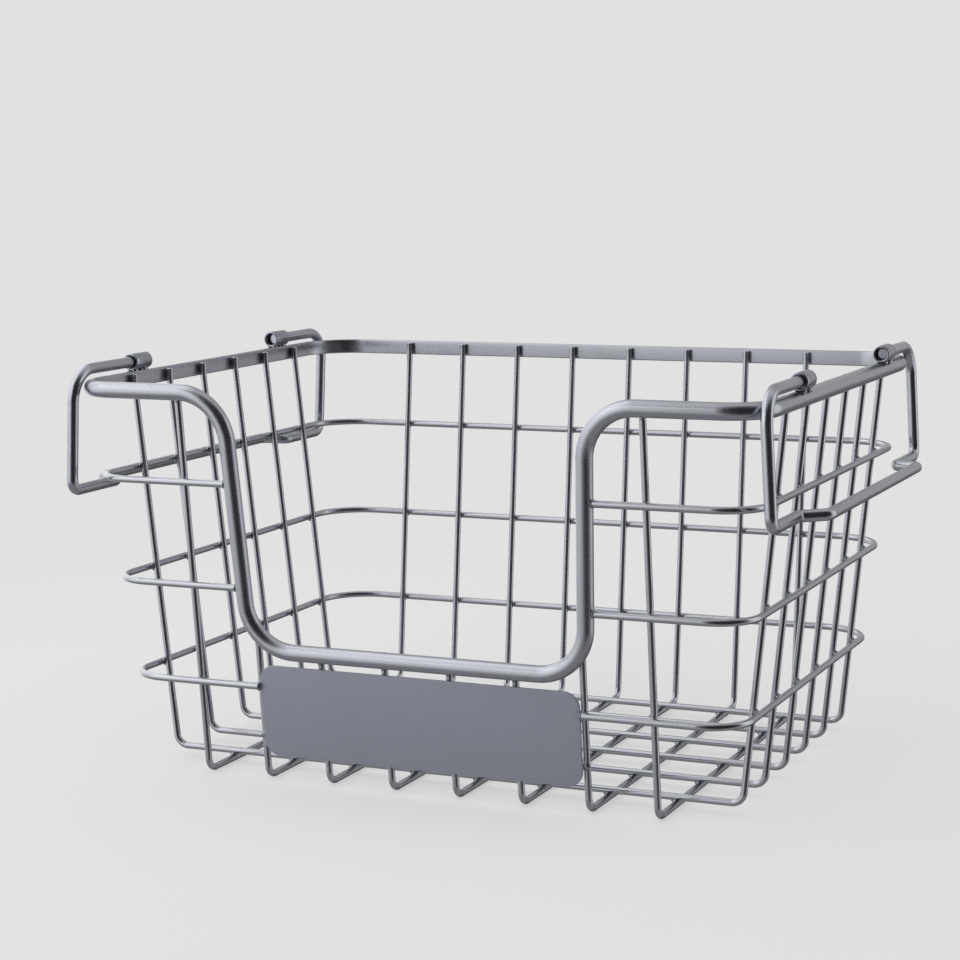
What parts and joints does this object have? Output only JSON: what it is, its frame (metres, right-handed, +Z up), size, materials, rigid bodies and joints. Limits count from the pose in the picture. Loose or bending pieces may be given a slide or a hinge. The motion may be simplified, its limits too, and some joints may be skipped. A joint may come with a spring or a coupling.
{
  "type": "wire storage basket",
  "caption": "Open steel wire basket with a half-round rim that dips at the front, a bare label plate and swinging bail handles that fold in for stacking.",
  "frame": {"origin": "under the middle of the whole basket with its handles hanging, on the surface it stands on", "axes": "+X to the right across the width, towards the right handle; +Y from the open front to the back; +Z up"},
  "size_m": [0.344, 0.2418, 0.1823],
  "materials": {
    "rim": "satin metallic blue-grey enamel",
    "grid_wire": "satin metallic blue-grey enamel",
    "label_plate": "satin metallic blue-grey enamel, fine speckle",
    "handle": "satin metallic blue-grey enamel",
    "hinge_sleeve": "satin metallic blue-grey enamel"
  },
  "bodies": {
    "basket": {"rim": "rim", "ring_bottom": "grid_wire", "ring_middle": "grid_wire", "ring_top": "grid_wire", "front_to_back_wire_1": "grid_wire", "front_to_back_wire_2": "grid_wire", "front_to_back_wire_3": "grid_wire", "front_to_back_wire_4": "grid_wire", "front_to_back_wire_5": "grid_wire", "front_to_back_wire_6": "grid_wire", "front_to_back_wire_7": "grid_wire", "front_to_back_wire_8": "grid_wire", "side_to_side_wire_1": "grid_wire", "side_to_side_wire_2": "grid_wire", "side_to_side_wire_3": "grid_wire", "side_to_side_wire_4": "grid_wire", "side_to_side_wire_5": "grid_wire", "side_to_side_wire_6": "grid_wire", "label_plate": "label_plate", "hinge_sleeve_left_front": "hinge_sleeve", "hinge_sleeve_left_rear": "hinge_sleeve", "hinge_sleeve_right_front": "hinge_sleeve", "hinge_sleeve_right_rear": "hinge_sleeve"},
    "left_handle": {"handle_left": "handle"},
    "right_handle": {"handle_right": "handle"}
  },
  "joints": [
    {"name": "left_handle_swing", "type": "hinge", "parent": "basket", "child": "left_handle", "pos_m": [-0.1554, -0.002, 0.17853], "axis": [0, 1, 0], "range_deg": [-4, 267]},
    {"name": "right_handle_swing", "type": "hinge", "parent": "basket", "child": "right_handle", "pos_m": [0.1554, -0.002, 0.17853], "axis": [0, -1, 0], "range_deg": [-4, 267]}
  ]
}
